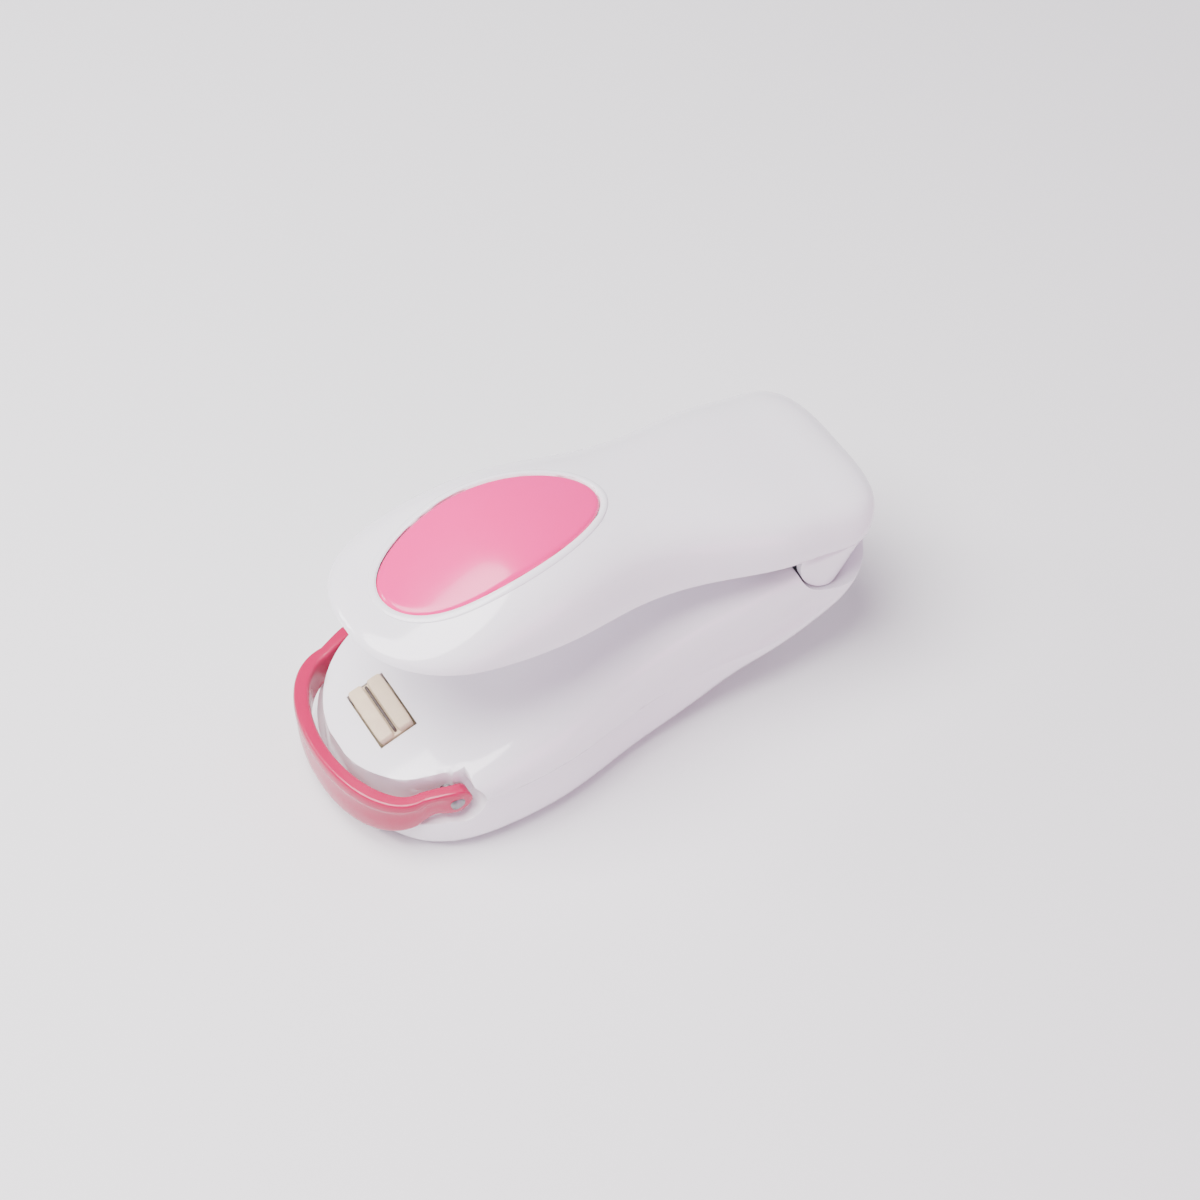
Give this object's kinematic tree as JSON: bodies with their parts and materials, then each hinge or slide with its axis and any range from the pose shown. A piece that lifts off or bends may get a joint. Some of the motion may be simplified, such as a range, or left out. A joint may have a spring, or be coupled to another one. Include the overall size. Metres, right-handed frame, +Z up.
{
  "type": "handheld bag heat sealer",
  "caption": "Palm-size battery bag sealer: waisted white body, sprung lever with a pink oval thumb pad, heated nose block and a pink swing-up bail that locks the lever shut.",
  "frame": {"origin": "middle of the flat underside, between the front of the bail and the tail", "axes": "+X along the body from the nose to the hinge at the tail, +Z up, +Y to the left seen from the tail"},
  "size_m": [0.1011, 0.0444, 0.0497],
  "materials": {
    "white_abs": "gloss",
    "pink_abs": "gloss",
    "rose_abs": "gloss",
    "cream_plastic": "satin",
    "silicone": "matte",
    "steel": "satin",
    "spring_steel": "satin",
    "hot_wire": "oxidised",
    "contact_metal": "bright",
    "lead_cover": "satin",
    "cell_case": "gloss"
  },
  "bodies": {
    "body": {"base_shell": "white_abs", "top_shell": "white_abs", "body_screws": "steel", "bail_pins": "steel", "battery_left": "cell_case", "battery_right": "cell_case", "contact_plate": "contact_metal", "contact_spring": "contact_metal", "bridge_contact": "contact_metal", "heater_springs": "spring_steel", "switch_blade_fixed": "contact_metal", "heater_leads": "lead_cover", "lever_spring": "spring_steel"},
    "lever": {"lever_shell": "white_abs", "thumb_pad": "pink_abs", "lever_liner": "white_abs", "lever_screws": "steel", "press_pad": "silicone", "hinge_pin": "steel"},
    "bail": {"lock_bail": "rose_abs"},
    "heater": {"heater_block": "cream_plastic", "heater_wire": "hot_wire", "switch_blade_moving": "contact_metal"},
    "door": {"battery_door": "white_abs"}
  },
  "joints": [
    {"name": "lever_hinge", "type": "hinge", "parent": "body", "child": "lever", "pos_m": [0.04205, 0, 0.02952], "axis": [0, 1, 0], "range_deg": [-15.2, 0], "stiffness_Nm_per_rad": 0.02, "springref_deg": 34.38, "deforming": ["lever_spring"]},
    {"name": "bail_hinge", "type": "hinge", "parent": "body", "child": "bail", "pos_m": [-0.03385, 0, 0.012], "axis": [0, 1, 0], "range_deg": [0, 46]},
    {"name": "heater_press", "type": "slide", "parent": "body", "child": "heater", "axis": [-0.3123, 0, 0.95], "range_m": [-0.0012, 0], "stiffness_N_per_m": 300, "springref_m": 0.001, "deforming": ["heater_springs"]},
    {"name": "door_hinge", "type": "hinge", "parent": "body", "child": "door", "pos_m": [-0.02593, 0, 0.00072], "axis": [0, 1, 0], "range_deg": [0, 75]}
  ]
}
